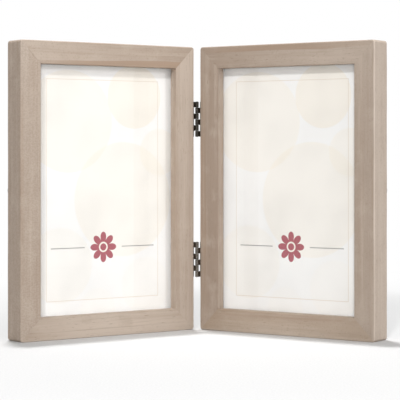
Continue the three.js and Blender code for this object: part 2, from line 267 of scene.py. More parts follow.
def rail_mesh(name, length, face, depth, joint_tones, chance, material):
    """A mitred length of moulding: sections strung along it, each point marked with its wood, its stain
    and its painted light and shade.
    """
    grows, ring_end, ring_width, late, line, rays, yellow = FIGURES[name]
    start_tone, middle_tone, end_tone, side_stain_and_shade, edge_wear_and_highlight = STAINS_AND_PAINTED_LIGHT[name]
    offset = Vector([chance.uniform(*PLANK_SPREAD) for _ in range(3)])
    beats = [(chance.uniform(*WAVER_PACE), chance.uniform(*WAVER_START)) for _ in range(3)]
    half = length / 2 - MITRE_GAP
    rings, marks = [], []
    for along, inset, setback in rail_stations(length):
        place = along * length / 2
        end = START if along < 0 else END
        rubbed = max(0.0, 1 - (length / 2 - abs(place)) / RUBBED_ACROSS) * ((name, end) not in UNRUBBED)
        shown = 1 - RUBBED_OUT * rubbed
        # The face tone is the stain together with painted light: the bottom rails are painted paler where
        # light from below is weak.
        tone = middle_tone + ((start_tone if end == START else end_tone) - middle_tone) * abs(along)
        tone += (joint_tones[end] - tone) * rubbed ** RUBBED_FALL
        ring = []
        for inward, back, wear_and_highlight in moulding_section(face, depth, *sanded_eases(place, beats)):
            sanded = inward + inset * max(0.0, 1 - inward / CORNER_ROUND)
            ring.append((along * (half - sanded - setback), back, sanded))
            growth = grows * (inward + RING_LEAN * back - ring_end) / ring_width
            pooled = POOL_TONE * max(0.0, 1 - (face - inward) / POOL_WIDTH)
            # Outer sides and inner walls take the side tone, their stain together with painted light and
            # shade, lighter or darker as light falls on them.
            own_tone = side_stain_and_shade if inward in (0, face) else tone + pooled
            marks.append(((growth, late * shown, line * shown), own_tone, wear_and_highlight * edge_wear_and_highlight))
        rings.append(ring)

    bm = bmesh.new()
    plank_layer, figure_layer = (bm.verts.layers.float_vector.new(mark) for mark in ("plank", "figure"))
    tone_layer, wear_and_highlight_layer, rays_layer, yellow_layer = (
        bm.verts.layers.float.new(mark) for mark in ("tone", "wear_and_highlight", "rays", "yellow"))
    loops = loft(bm, rings, closed=False)
    for vertex, mark in zip([vertex for loop in loops for vertex in loop], marks):
        vertex[plank_layer] = vertex.co + offset
        vertex[figure_layer], vertex[tone_layer], vertex[wear_and_highlight_layer] = mark
        vertex[rays_layer] = rays
        vertex[yellow_layer] = yellow
    return mesh_from(bm, name, material)


def linear(hex_colour):
    """An sRGB hex colour as linear red, green, blue and alpha."""
    parts = [int(hex_colour[i:i + 2], 16) / 255 for i in (1, 3, 5)]
    return (*(c / 12.92 if c <= 0.04045 else ((c + 0.055) / 1.055) ** 2.4 for c in parts), 1)


def add_node(tree, kind, inputs, output=0, **settings):
    """Adds a shader node and gives its output. An input is a value, or the output that feeds it."""
    node = tree.nodes.new("ShaderNode" + kind)
    for name, value in settings.items():
        setattr(node, name, value)
    for key, value in inputs.items():
        if isinstance(value, bpy.types.NodeSocket):
            tree.links.new(value, node.inputs[key])
        else:
            node.inputs[key].default_value = value
    return node.outputs[output] if node.outputs else None


def new_material(name):
    """A material without nodes, and the tree that takes them."""
    material = bpy.data.materials.new(name)
    material.use_nodes = True
    material.node_tree.nodes.clear()
    return material, material.node_tree


def tinted(tree, colour, amount, tints):
    """Tints a colour where an amount lies between two levels. A tint is (start, full, strength, shade)."""
    for start, full, strength, shade in tints:
        share = add_node(tree, "MapRange", {"Value": amount, "From Min": start, "From Max": full,
                                            "To Max": strength}, interpolation_type="SMOOTHSTEP")
        colour = add_node(tree, "Mix", {"Factor": share, "A": colour, "B": linear(shade)}, "Result",
                          data_type="RGBA")
    return colour


# Each noise of a material is read this many blobs away from the one before, so that they don't line up.
NOISE_STEP = 5.3
NOISE_ROUGHNESS = 0.55


def mottled(tree, place, colour, marks):
    """Tints a colour by noises, and gives it and them. A mark is (size of its blobs along x, y and z in
    millimetres, octaves of finer detail, tints)."""
    noises = []
    for number, (size, detail, tints) in enumerate(marks):
        scaled = add_node(tree, "VectorMath", {0: place, 1: [1 / length for length in size],
                                               2: [NOISE_STEP * number] * 3}, operation="MULTIPLY_ADD")
        noises.append(add_node(tree, "TexNoise", {"Vector": scaled, "Scale": 1.0, "Detail": detail,
                                                  "Roughness": NOISE_ROUGHNESS}))
        colour = tinted(tree, colour, noises[-1], tints)
    return colour, noises


# Grey washed hardwood, sanded and matt: soft brown late wood under a pale grey stain, yellower in some
# lengths, with fine fibres and short pores along the grain, small ray flecks, and paler edges, partly
# rubbed and partly a painted highlight. The fibres are drawn a few times wider than real ones, which would
# be too fine to show.
PALE_STAIN, DARK_STAIN, YELLOW_WOOD = "#c9baac", "#9f8d7e", "#b3946a"
LATE_WOOD, RING_LINE, RUBBED_EDGE_AND_HIGHLIGHT = "#a8917e", "#8a7260", "#d6c8bb"
FIBRE_MM = 0.5
STREAK_MM = 2.6
MOTTLE_MM = 8
PORE_MM = 0.45
FLECK_MM = 1.2
WOBBLE_MM = 18

# How many times as long as wide each of them is along the grain.
GRAIN_RUN = 40
MOTTLE_RUN = 1.4
PORE_RUN = 9
FLECK_RUN = 2 / 3
WOBBLE_RUN = 5

# Across a ring, from 0 to 1: where the late wood and its line start and are full, where both end, and
# how far a ring sways along a length.
LATE_RISE = (0.5, 0.85)
LINE_RISE = (0.92, 0.965)
RING_END = 0.965
RING_BEND = 0.09


def along_grain(width, run):
    """The size of a mark that lies along the grain."""
    return (width * run, width, width)


def grey_washed_hardwood():
    material, tree = new_material("grey_washed_hardwood_sanded")
    plank, figure = (add_node(tree, "Attribute", {}, "Vector", attribute_name=mark)
                     for mark in ("plank", "figure"))
    tone, wear_and_highlight, rays, yellow = (add_node(tree, "Attribute", {}, "Fac", attribute_name=mark)
                                for mark in ("tone", "wear_and_highlight", "rays", "yellow"))
    growth, late_share, line_share = (add_node(tree, "SeparateXYZ", {0: figure}, axis) for axis in "XYZ")
    # The tone mixes the stain with painted light and shade, face by face.
    ground = add_node(tree, "Mix", {"Factor": tone, "A": linear(PALE_STAIN), "B": linear(DARK_STAIN)},
                      "Result", data_type="RGBA")
    ground = tinted(tree, ground, yellow, [(0.0, 1.0, 0.3, YELLOW_WOOD)])
    colour, (streak, _, fibre, pore, fleck, wobble) = mottled(tree, plank, ground, [
        (along_grain(STREAK_MM, GRAIN_RUN), 4,
         [(0.5, 0.72, 0.4, "#a38e7d"), (0.48, 0.3, 0.35, "#c9b9aa")]),
        (along_grain(MOTTLE_MM, MOTTLE_RUN), 3,
         [(0.48, 0.72, 0.35, "#c2b4a6"), (0.46, 0.28, 0.25, "#a59483")]),
        (along_grain(FIBRE_MM, GRAIN_RUN), 3, [(0.52, 0.76, 0.3, "#92806e")]),
        (along_grain(PORE_MM, PORE_RUN), 1, [(0.68, 0.75, 0.4, "#7a6655")]),
        (along_grain(FLECK_MM, FLECK_RUN), 1, []),
        (along_grain(WOBBLE_MM, WOBBLE_RUN), 2, []),
    ])
    shown_fleck = add_node(tree, "Math", {0: fleck, 1: rays}, operation="MULTIPLY")
    colour = tinted(tree, colour, shown_fleck, [(0.46, 0.62, 0.22, "#8d7a69")])

    bend = add_node(tree, "MapRange", {"Value": wobble, "From Min": 0.25, "From Max": 0.75,
                                       "To Min": -RING_BEND, "To Max": RING_BEND})
    bent = add_node(tree, "Math", {0: growth, 1: bend}, operation="ADD")
    ring = add_node(tree, "Math", {0: bent}, operation="FRACT")
    fall = add_node(tree, "MapRange", {"Value": ring, "From Min": RING_END, "To Min": 1.0, "To Max": 0.0},
                    interpolation_type="SMOOTHSTEP")
    uneven = add_node(tree, "MapRange", {"Value": streak, "To Min": 0.4, "To Max": 1.6})
    for (start, full), share, tint in ((LATE_RISE, late_share, (0.0, 1.0, 1.0, LATE_WOOD)),
                                       (LINE_RISE, line_share, (0.0, 1.4, 1.0, RING_LINE))):
        band = add_node(tree, "MapRange", {"Value": ring, "From Min": start, "From Max": full},
                        interpolation_type="SMOOTHSTEP")
        for factor in (fall, share, uneven):
            band = add_node(tree, "Math", {0: band, 1: factor}, operation="MULTIPLY")
        colour = tinted(tree, colour, band, [tint])
    # The paler edges are partly rubbed and partly a painted highlight, where the rounded edge catches
    # light.
    rubbed = add_node(tree, "Math", {0: wear_and_highlight, 1: streak}, operation="MULTIPLY")
    colour = tinted(tree, colour, rubbed, [(0.2, 0.7, 0.8, RUBBED_EDGE_AND_HIGHLIGHT)])

    relief = tinted(tree, fibre, pore, [(0.66, 0.76, 1.0, "#000000")])
    bump = add_node(tree, "Bump", {"Height": relief, "Strength": 0.3, "Distance": 0.06 * MM})
    gloss = add_node(tree, "MapRange", {"Value": fibre, "From Min": 0.3, "From Max": 0.75,
                                        "To Min": 0.54, "To Max": 0.7})
    surface = add_node(tree, "BsdfPrincipled", {"Base Color": colour, "Roughness": gloss, "IOR": 1.45,
                                                "Specular IOR Level": 0.3, "Normal": bump})
    add_node(tree, "OutputMaterial", {"Surface": surface})
    return material


# The lengths are slotted for the corner nails and bored for the screws, each with a little play. A cutter
# stands out of the back of the wood, so that its end leaves no skin.
NAIL_LEG = 5
NAIL_SHEET = 0.6
NAIL_INSET = 3.4
HOLE_PLAY = 0.1
CUT_PAST = 1
ROUND_SIDES = 32
BUTTON_SCREW_RADIUS = 1.1
HINGE_SCREW_RADIUS = 0.8
CONE_RADIUS = 1.6
CONE_HEIGHT = 0.8
TURNED_TIP = 0.05
HINGES = ("upper", "lower")
LEAF_SCREWS = (1, 2)


def turned(name, profile, material):
    """A profile of (radius, height) points, turned about y and closed at both ends. Its corners lie half
    a side off the axes, so that no corner of a bore lies on an edge of what it is cut from."""
    start = 180 / ROUND_SIDES
    bm = bmesh.new()
    loft(bm, [[(x, height, z) for x, z in arc((0, 0), radius, start, start + 360, ROUND_SIDES)[:-1]]
              for radius, height in profile], closed=False)
    return mesh_from(bm, name, material)


def prism(name, outline, low, high, material, narrowing=1.0):
    """An outline in x and z between two depths, narrower at the low end."""
    bm = bmesh.new()
    bottom = [(x * narrowing, low, z * narrowing) for x, z in outline]
    loft(bm, [bottom, [(x, high, z) for x, z in outline]], closed=False)
    return mesh_from(bm, name, material)


def nail_slot(length, end, low, high, material):
    """The cutter of the slot that a corner nail leaves at one end of a length."""
    near, sheet, tip = -HOLE_PLAY, NAIL_SHEET + HOLE_PLAY, NAIL_LEG + HOLE_PLAY
    strip = [(near, near), (tip, near), (tip, sheet), (sheet, sheet), (sheet, tip), (near, tip)]
    bend = length / 2 - NAIL_INSET
    outline = [(end * (bend - along), NAIL_INSET + inward) for along, inward in strip]
    return prism("slot", outline, low, high, material)


def bore(radius, low, high, material):
    """The cutter of a plain hole along y."""
    return turned("bore", [(radius, low), (radius, high)], material)


def countersunk_profile(length, grow=0.0):
    """A countersunk screw from its tip to the rim of its head, which lies at height 0."""
    shank = HINGE_SCREW_RADIUS + grow
    return [(TURNED_TIP, -length - grow), (shank, 2 * HINGE_SCREW_RADIUS - length), (shank, -CONE_HEIGHT),
            (CONE_RADIUS + grow, 0)]


def head_place(side, node):
    """Where the head of a hinge screw lies in the flat axes of its frame, with the shank along -y."""
    low, high = box_in(stand(side), node)
    head = low.x if SIDES[side] > 0 else high.x
    middle = (low + high) / 2
    return shift(head, middle.y, middle.z) @ Matrix.Rotation(SIDES[side] * math.pi / 2, 4, "Z")


def countersink(side, hinge, number, material):
    """The cutter of the hole around a hinge screw, in the flat axes of its frame."""
    node = f"{hinge}_hinge_{side}_screw_{number}"
    low, high = box_in(stand(side), node)
    rim = (CONE_RADIUS + HOLE_PLAY, CONE_HEIGHT)
    cutter = turned("countersink", [*countersunk_profile(high.x - low.x, HOLE_PLAY), rim], material)
    cutter.transform(head_place(side, node))
    return cutter


def evaluated(thing):
    """The mesh of an object after its modifiers. The object itself is removed."""
    depsgraph = bpy.context.evaluated_depsgraph_get()
    mesh = bpy.data.meshes.new_from_object(thing.evaluated_get(depsgraph))
    bpy.data.objects.remove(thing)
    return mesh


def carve(mesh, cutters, sharp_deg=SHARP_DEG):
    """The mesh with every cutter, a mesh in the same axes, taken out of it."""
    blank = bpy.data.objects.new(f"{mesh.name}_blank", mesh)
    tools = [bpy.data.objects.new(f"{mesh.name}_tool", cutter) for cutter in cutters]
    for thing in [blank, *tools]:
        bpy.context.scene.collection.objects.link(thing)
    for tool in tools:
        cut = blank.modifiers.new(tool.name, "BOOLEAN")
        cut.object = tool
        cut.operation = "DIFFERENCE"
        cut.solver = "EXACT"
    carved = evaluated(blank)
    for tool in tools:
        bpy.data.objects.remove(tool)
    return finish_faces(carved, sharp_deg)


def add_piece(name, mesh, matrix, body, node):
    """Puts a mesh in the room in place of its CAD node. Its axes are those of the room."""
    mesh.transform(matrix.to_3x3().to_4x4())
    piece = bpy.data.objects.new(name, mesh)
    bpy.context.scene.collection.objects.link(piece)
    piece.location = matrix.translation
    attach(piece, body)
    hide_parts(node)


PLANK_SEED = 20
wood = grey_washed_hardwood()
chance = random.Random(PLANK_SEED)
for side in SIDES:
    low, high = box_in(stand(side), f"{side}_bottom_rail")
    face, depth = high.z - low.z, high.y - low.y
    nail_low = box_in(stand(side), f"{side}_top_outer_corner_nail")[0].y - low.y - HOLE_PLAY
    for edge, (rail, _) in EDGES.items():
        node = f"{side}_{rail}"
        length = edge_size(side, edge)[0]
        joint_tones = {end: joint_tone(side, edge, end) for end in (START, END)}
        blank = rail_mesh(node, length, face, depth, joint_tones, chance, wood)
        matrix = edge_matrix(side, edge)
        cutters = [nail_slot(length, end, nail_low, depth + CUT_PAST, wood) for end in (START, END)]
        low, high = box_in(matrix, f"{side}_{edge}_button_screw")
        hole = bore(BUTTON_SCREW_RADIUS + HOLE_PLAY, low.y - HOLE_PLAY, depth + CUT_PAST, wood)
        hole.transform(shift((low.x + high.x) / 2, 0, (low.z + high.z) / 2))
        cutters.append(hole)
        if edge == "hinge":
            cones = [countersink(side, hinge, number, wood) for hinge in HINGES for number in LEAF_SCREWS]
            for cone in cones:
                cone.transform(matrix.inverted() @ stand(side))
            cutters += cones
        add_piece(f"{node}_wood", carve(blank, cutters), matrix, f"{side}_frame", node)

# The corner nails. Steel strip, bent to a right angle, is pressed across each mitre from the back
# while the glue sets. The nails keep their CAD shape, and only their back edge shows.


def place_in_mm(tree):
    """The place on a piece in its own axes, in millimetres."""
    place = add_node(tree, "TexCoord", {}, "Object")
    return add_node(tree, "VectorMath", {0: place, 1: [1 / MM] * 3}, operation="MULTIPLY")


def drawn_strip_steel():
    """Bare steel strip, cold drawn: grey, with fine lines along it and a first trace of rust."""
    material, tree = new_material("bare_steel_strip_drawn")
    colour, (lines, _) = mottled(tree, place_in_mm(tree), linear("#8d9094"), [
        ((6, 0.3, 6), 2, [(0.4, 0.7, 0.4, "#6f7174")]),
        ((1.5, 1.5, 1.5), 3, [(0.55, 0.75, 0.5, "#6d4f3a")]),
    ])
    gloss = add_node(tree, "MapRange", {"Value": lines, "To Min": 0.35, "To Max": 0.6})
    surface = add_node(tree, "BsdfPrincipled", {"Base Color": colour, "Metallic": 1.0, "Roughness": gloss})
    add_node(tree, "OutputMaterial", {"Surface": surface})
    return material


strip_steel = drawn_strip_steel()
for name, node in frame["nodes"].items():
    if name.endswith("_corner_nail"):
        node.material_slots[0].material = strip_steel

# The glass. A 2 mm pane of float glass lies against the lip of each frame. Its cut edges are seamed,
# that is, ground off by hand at a small bevel, and its faces are flat to the eye.
SEAM = 0.3
SHEET_SHARP_DEG = 20


def sheet_mesh(name, size, bevel, material):
    """A flat sheet about its middle, with its edges broken by a small bevel."""
    bm = bmesh.new()
    bmesh.ops.create_cube(bm, size=1, matrix=Matrix.Diagonal((*size, 1)))
    bmesh.ops.bevel(bm, geom=bm.edges[:], offset=bevel, segments=2, profile=0.5, affect="EDGES")
    sheet_layer = bm.verts.layers.float_vector.new("sheet")
    for vertex in bm.verts:
        vertex[sheet_layer] = vertex.co
    return mesh_from(bm, name, material, SHEET_SHARP_DEG)


def seat(node, side):
    """The size of a CAD node in the flat axes of its frame, and where its middle stands in the room."""
    low, high = box_in(stand(side), node)
    return high - low, stand(side) @ shift(*((low + high) / 2))


def lay_sheets(sheet, ending, bevel, material):
    """Lays a flat sheet into each frame, in place of its CAD node."""
    for side in SIDES:
        node = f"{side}_{sheet}"
        size, matrix = seat(node, side)
        mesh = sheet_mesh(node, size, bevel, material)
        add_piece(f"{node}_{ending}", mesh, matrix, f"{side}_frame", node)


def float_glass():
    """Clear float glass: what lies behind shows through, under a faint mirror image of the room that
    grows at a slant. The outer face stands for both, and a trace of haze softens it."""
    material, tree = new_material("clear_float_glass_seamed")
    place = add_node(tree, "Attribute", {}, "Vector", attribute_name="sheet")
    tint, (haze,) = mottled(tree, place, linear("#ffffff"), [
        ((35, 35, 35), 3, [(0.4, 0.8, 1.0, "#fcfcfc")]),
    ])
    gloss = add_node(tree, "MapRange", {"Value": haze, "From Min": 0.45, "From Max": 0.8, "To Max": 0.05})
    clear = add_node(tree, "BsdfTransparent", {"Color": tint})
    mirror = add_node(tree, "BsdfGlossy", {"Color": linear("#ffffff"), "Roughness": gloss})
    inside = add_node(tree, "NewGeometry", {}, "Backfacing")
    faces = add_node(tree, "MapRange", {"Value": inside, "To Min": 1.0, "To Max": 0.0})
    share = add_node(tree, "Fresnel", {"IOR": 1.5})
    share = add_node(tree, "Math", {0: share, 1: faces}, operation="MULTIPLY", use_clamp=True)
    surface = add_node(tree, "MixShader", {0: share, 1: clear, 2: mirror})
    add_node(tree, "OutputMaterial", {"Surface": surface})
    return material


lay_sheets("glass", "pane", SEAM, float_glass())

# The photo insert. A sheet of white card, cut to the size of the photograph and printed with a pale
# filler design, lies behind the glass until a photograph takes its place. The design is a plain one:
# soft cream discs, a thin frame line and a small red rosette between two grey rules.
CARD_BEVEL = 0.06
INK_EDGE = 0.12

# Each disc: its middle across and up from the middle of the card, its radius, and how strong its tint is.
DISCS = [(-24, 40, 30, 0.35), (22, 55, 19, 0.5), (14, -6, 34, 0.35), (-30, -44, 22, 0.2),
         (30, -58, 17, 0.12), (40, 22, 14, 0.3), (-4, -70, 12, 0.1)]

# The frame line runs this far across and up from the middle. The rosette has a neck between its petals, as
# a share of its radius, and a pale ring around its eye. The rules start and end this far from the middle.
FRAME_LINE = (39, 64.5)
FRAME_LINE_WIDTH = 0.4
ROSETTE_MIDDLE = (0, 0, -34)
ROSETTE_RADIUS = 9
ROSETTE_PETALS = 8
ROSETTE_EYE = 2.6
ROSETTE_EYE_RING = 1.0
ROSETTE_NECK = 0.42
ROSETTE_FULLNESS = 0.6
RULE_START = 13
RULE_END = 36
RULE_WIDTH = 0.5


def printed_card():
    """Matt white card, offset printed: faint fibre mottle, soft cream tints and sharp edged inks. Each ink
    lies where a distance on the card is less than its reach."""
    material, tree = new_material("white_card_offset_printed")
    place = add_node(tree, "Attribute", {}, "Vector", attribute_name="sheet")
    place = add_node(tree, "VectorMath", {0: place, 1: (1, 0, 1)}, operation="MULTIPLY")
    colour, (fibre,) = mottled(tree, place, linear("#fcfbf9"), [
        ((0.5, 0.5, 0.5), 3, [(0.45, 0.75, 0.4, "#f8f7f4")]),
    ])

    # The discs.
    inks = []
    for x, z, radius, strength in DISCS:
        distance = add_node(tree, "VectorMath", {0: place, 1: (x, 0, z)}, "Value", operation="DISTANCE")
        inks.append((distance, radius, strength, "#f9f0df"))

    # The frame line.
    span, past = [], []
    for axis, limit in zip("XZ", FRAME_LINE):
        part = add_node(tree, "SeparateXYZ", {0: place}, axis)
        span.append(add_node(tree, "Math", {0: part}, operation="ABSOLUTE"))
        past.append(add_node(tree, "Math", {0: span[-1], 1: limit}, operation="SUBTRACT"))
    outside = add_node(tree, "Math", {0: past[0], 1: past[1]}, operation="MAXIMUM")
    off_line = add_node(tree, "Math", {0: outside}, operation="ABSOLUTE")
    inks.append((off_line, FRAME_LINE_WIDTH / 2, 0.7, "#e4d8c8"))

    # The rules, at the height of the rosette.
    local = add_node(tree, "VectorMath", {0: place, 1: ROSETTE_MIDDLE}, operation="SUBTRACT")
    across, up = (add_node(tree, "SeparateXYZ", {0: local}, axis) for axis in "XZ")
    height = add_node(tree, "Math", {0: up}, operation="ABSOLUTE")
    from_rule = add_node(tree, "Math", {0: span[0], 1: (RULE_START + RULE_END) / 2}, operation="SUBTRACT")
    from_rule = add_node(tree, "Math", {0: from_rule}, operation="ABSOLUTE")
    half_rule = (RULE_END - RULE_START - RULE_WIDTH) / 2
    beyond = add_node(tree, "Math", {0: from_rule, 1: half_rule}, operation="SUBTRACT")
    off_rule = add_node(tree, "Math", {0: beyond, 1: height}, operation="MAXIMUM")
    inks.append((off_rule, RULE_WIDTH / 2, 0.9, "#8f8a88"))

    # The rosette: petals that swell and narrow around it, and the ring around its eye.
    angle = add_node(tree, "Math", {0: up, 1: across}, operation="ARCTAN2")
    turn = add_node(tree, "Math", {0: angle, 1: ROSETTE_PETALS / 2}, operation="MULTIPLY")
    wave = add_node(tree, "Math", {0: turn}, operation="COSINE")
    petal = add_node(tree, "Math", {0: wave}, operation="ABSOLUTE")
    petal = add_node(tree, "Math", {0: petal, 1: ROSETTE_FULLNESS}, operation="POWER")
    reach = add_node(tree, "MapRange", {"Value": petal, "To Min": ROSETTE_RADIUS * ROSETTE_NECK,
                                        "To Max": ROSETTE_RADIUS})
    radius = add_node(tree, "VectorMath", {0: local}, "Value", operation="LENGTH")
    outside = add_node(tree, "Math", {0: radius, 1: reach}, operation="SUBTRACT")
    inks.append((outside, 0, 0.92, "#a83a4c"))
    off_eye = add_node(tree, "Math", {0: radius, 1: ROSETTE_EYE}, operation="SUBTRACT")
    off_eye = add_node(tree, "Math", {0: off_eye}, operation="ABSOLUTE")
    inks.append((off_eye, ROSETTE_EYE_RING / 2, 1.0, "#f8f1e8"))
    for distance, reach, strength, shade in inks:
        colour = tinted(tree, colour, distance, [(reach + INK_EDGE, reach - INK_EDGE, strength, shade)])

    bump = add_node(tree, "Bump", {"Height": fibre, "Strength": 0.15, "Distance": 0.02 * MM})
    surface = add_node(tree, "BsdfPrincipled", {"Base Color": colour, "Roughness": 0.7, "IOR": 1.45,
                                                "Specular IOR Level": 0.3, "Normal": bump})
    add_node(tree, "OutputMaterial", {"Surface": surface})
    return material


lay_sheets("photo_insert", "card", CARD_BEVEL, printed_card())

# The filler card. A piece of corrugated card, brown kraft liners glued on both sides of a wavy core,
# presses the insert against the glass. It is knife cut, and the flutes run up the frame.
LINER = 0.4
GLUE_LINE = 0.04
FLUTE_PITCH = 6.6
FLUTE_SHEET = 0.3
FLUTE_STEPS = 8


def corrugated_mesh(name, size, material):
    """Two liners and a wavy core of its own thickness, standing free of the liners by a glue line."""
    bm = bmesh.new()
    width, thickness, height = size
    for face in (-1, 1):
        middle = Matrix.Translation((0, face * (thickness - LINER) / 2, 0))
        bmesh.ops.create_cube(bm, size=1, matrix=middle @ Matrix.Diagonal((width, LINER, height, 1)))
    count = round(width / FLUTE_PITCH)
    swing = thickness / 2 - LINER - GLUE_LINE - FLUTE_SHEET / 2
    core = []
    for i in range(count * FLUTE_STEPS + 1):
        x = width * (i / (count * FLUTE_STEPS) - 0.5)
        core.append((x, swing * math.cos(2 * math.pi * i / FLUTE_STEPS)))
    outline = [(x, y + FLUTE_SHEET / 2) for x, y in core]
    outline += [(x, y - FLUTE_SHEET / 2) for x, y in reversed(core)]
    loft(bm, [[(x, y, end * height / 2) for x, y in outline] for end in (-1, 1)], closed=False)
    return mesh_from(bm, name, material)


def kraft_board():
    """Unbleached kraft, calendered: warm brown, flecked with darker and paler fibres."""
    material, tree = new_material("kraft_card_corrugated")
    colour, (_, flecks) = mottled(tree, place_in_mm(tree), linear("#b08d62"), [
        ((9, 9, 14), 2, [(0.4, 0.7, 0.5, "#a3805a")]),
        ((0.4, 0.4, 2.2), 3, [(0.6, 0.75, 0.6, "#7f5f3f"), (0.4, 0.25, 0.5, "#c9a97e")]),
    ])
    bump = add_node(tree, "Bump", {"Height": flecks, "Strength": 0.3, "Distance": 0.04 * MM})
    surface = add_node(tree, "BsdfPrincipled", {"Base Color": colour, "Roughness": 0.85, "Normal": bump})
    add_node(tree, "OutputMaterial", {"Surface": surface})
    return material


kraft = kraft_board()
for side in SIDES:
    node = f"{side}_filler_card"
    size, matrix = seat(node, side)
    mesh = corrugated_mesh(node, size, kraft)
    add_piece(f"{node}_flutes", mesh, matrix, f"{side}_frame", node)

# The backing board. Wet wood fibre, hot pressed to a 2.5 mm hardboard, is sawn to size, and its edges
# are broken with sandpaper so that the board drops into the rebate.
BOARD_BEVEL = 0.3


def pressed_hardboard():
    """Oil tempered hardboard, hot pressed: dark brown and dense, flecked with fibre."""
    material, tree = new_material("hardboard_hot_pressed")
    colour, (fibre,) = mottled(tree, place_in_mm(tree), linear("#5d4330"), [
        ((1.6, 0.25, 1.6), 4, [(0.5, 0.75, 0.7, "#3e2b1e"), (0.45, 0.25, 0.5, "#7b5b41")]),
    ])
    bump = add_node(tree, "Bump", {"Height": fibre, "Strength": 0.3, "Distance": 0.05 * MM})
    surface = add_node(tree, "BsdfPrincipled", {"Base Color": colour, "Roughness": 0.7, "Normal": bump})
    add_node(tree, "OutputMaterial", {"Surface": surface})
    return material


lay_sheets("backing_board", "panel", BOARD_BEVEL, pressed_hardboard())

# The velour sheet. Black flock, short nylon fibre shot upright into glue on a paper backing, covers
# the backing board, so that the frame looks finished from behind and slides softly on a table.
FLOCK_BEVEL = 0.15
FLOCK_MM = 0.5
BRUSHED_MM = 22


def black_flock():
    """Nylon flock on paper: deep black, with a soft sheen at a slant and patches brushed another way."""
    material, tree = new_material("black_flocked_paper")
    colour, (nap, brushed) = mottled(tree, place_in_mm(tree), linear("#1c1b1e"), [
        ((FLOCK_MM, FLOCK_MM, FLOCK_MM), 3, [(0.45, 0.7, 0.7, "#0e0d10")]),
        ((BRUSHED_MM, BRUSHED_MM, BRUSHED_MM * 1.6), 3, [(0.5, 0.7, 0.5, "#2a292d")]),
    ])
    height = add_node(tree, "Math", {0: nap, 1: brushed}, operation="ADD")
    bump = add_node(tree, "Bump", {"Height": height, "Strength": 0.6, "Distance": 0.15 * MM})
    surface = add_node(tree, "BsdfPrincipled", {"Base Color": colour, "Roughness": 0.95, "Normal": bump,
                                                "Specular IOR Level": 0.1, "Sheen Weight": 0.6,
                                                "Sheen Roughness": 0.5, "Sheen Tint": linear("#8a8890")})
    add_node(tree, "OutputMaterial", {"Surface": surface})
    return material


lay_sheets("velour_sheet", "flock", FLOCK_BEVEL, black_flock())

# The turn buttons. Strips of 1 mm steel with round ends, punched and zinc plated, swivel on a screw
# in the middle of each edge and hold the back in. The punch leaves their upper edges rounded.
BUTTON_WIDTH = 8
BUTTON_EDGE = 0.25
BUTTON_HOLE_RADIUS = 1.35
EDGE_STEPS = 4
TIP_STEPS = 20


def zinc_plate():
    """Steel, punched and bright zinc plated: bluish grey with a faint cloud and fine handling marks."""
    material, tree = new_material("zinc_plated_steel_punched")
    colour, (cloud, scratches) = mottled(tree, place_in_mm(tree), linear("#a3a7ac"), [
        ((3, 3, 3), 3, [(0.4, 0.7, 0.6, "#8b9097")]),
        ((2.5, 0.25, 0.25), 3, [(0.58, 0.75, 0.4, "#c4c6c8")]),
    ])
    gloss = add_node(tree, "MapRange", {"Value": cloud, "From Min": 0.3, "From Max": 0.7,
                                        "To Min": 0.26, "To Max": 0.42})
    bump = add_node(tree, "Bump", {"Height": scratches, "Strength": 0.15, "Distance": 0.02 * MM})
    surface = add_node(tree, "BsdfPrincipled", {"Base Color": colour, "Metallic": 1.0, "Roughness": gloss,
                                                "Normal": bump})
    add_node(tree, "OutputMaterial", {"Surface": surface})
    return material


def button_mesh(name, length, sheet, material):
    """A strip with round ends that lies on y = 0, with its pivot hole at the origin and its tip up z."""
    def outline(inset):
        radius = BUTTON_WIDTH / 2 - inset
        reach = length - BUTTON_WIDTH
        return arc((0, 0), radius, 180, 360, TIP_STEPS) + arc((0, reach), radius, 0, 180, TIP_STEPS)

    def hole(radius):
        return [tuple(Vector(point).normalized() * radius) for point in outline(0)]

    rounds = arc((BUTTON_EDGE, BUTTON_EDGE), BUTTON_EDGE, 180, 270, EDGE_STEPS)
    levels = [(outline(0), 0)]
    levels += [(outline(inset), sheet - rise) for inset, rise in rounds]
    levels += [(outline(2 * BUTTON_EDGE), sheet), (hole(BUTTON_HOLE_RADIUS + 2 * BUTTON_EDGE), sheet)]
    levels += [(hole(BUTTON_HOLE_RADIUS + inset), sheet - rise) for inset, rise in reversed(rounds)]
    levels += [(hole(BUTTON_HOLE_RADIUS), 0)]
    bm = bmesh.new()
    loft(bm, [[(x, height, z) for x, z in points] for points, height in levels], closed=True)
    return mesh_from(bm, name, material)


zinc = zinc_plate()
for side in SIDES:
    for edge in EDGES:
        node = f"{side}_{edge}_turn_button"
        matrix = edge_matrix(side, edge)
        low, high = box_in(matrix, node)
        mesh = button_mesh(node, high.z - low.z, high.y - low.y, zinc)
        pivot = shift((low.x + high.x) / 2, low.y, low.z + BUTTON_WIDTH / 2)
        add_piece(f"{node}_plate", mesh, matrix @ pivot, node, node)

# The button screws. Zinc plated steel screws with a cross recess and a pan head, which keeps the turn
# button on and still lets it swivel.
PAN_RADIUS = 2.6
PAN_HEIGHT = 1.5
PAN_EDGE = 0.45
PAN_BREAK = 0.1
CROWN_STEPS = 8

# The recess: its reach and half the width of a slot in head radii, its depth in heights of the head, and
# the width of its tool's tip as a share of that of the tool.
RECESS_REACH = 0.58
RECESS_HALF_SLOT = 0.13
RECESS_DEPTH = 0.5
RECESS_NARROWING = 0.7


def cross_outline(reach, half):
    """A cross with square ends."""
    return [(half, half), (half, reach), (-half, reach), (-half, half), (-reach, half), (-reach, -half),
            (-half, -half), (-half, -reach), (half, -reach), (half, -half), (reach, -half), (reach, half)]


def cross_recess(head_radius, head_height, top, material):
    """The cutter of a cross recess, narrower towards its bottom."""
    outline = cross_outline(RECESS_REACH * head_radius, RECESS_HALF_SLOT * head_radius)
    depth = RECESS_DEPTH * head_height
    return prism("recess", outline, top - depth, top + depth, material, RECESS_NARROWING)


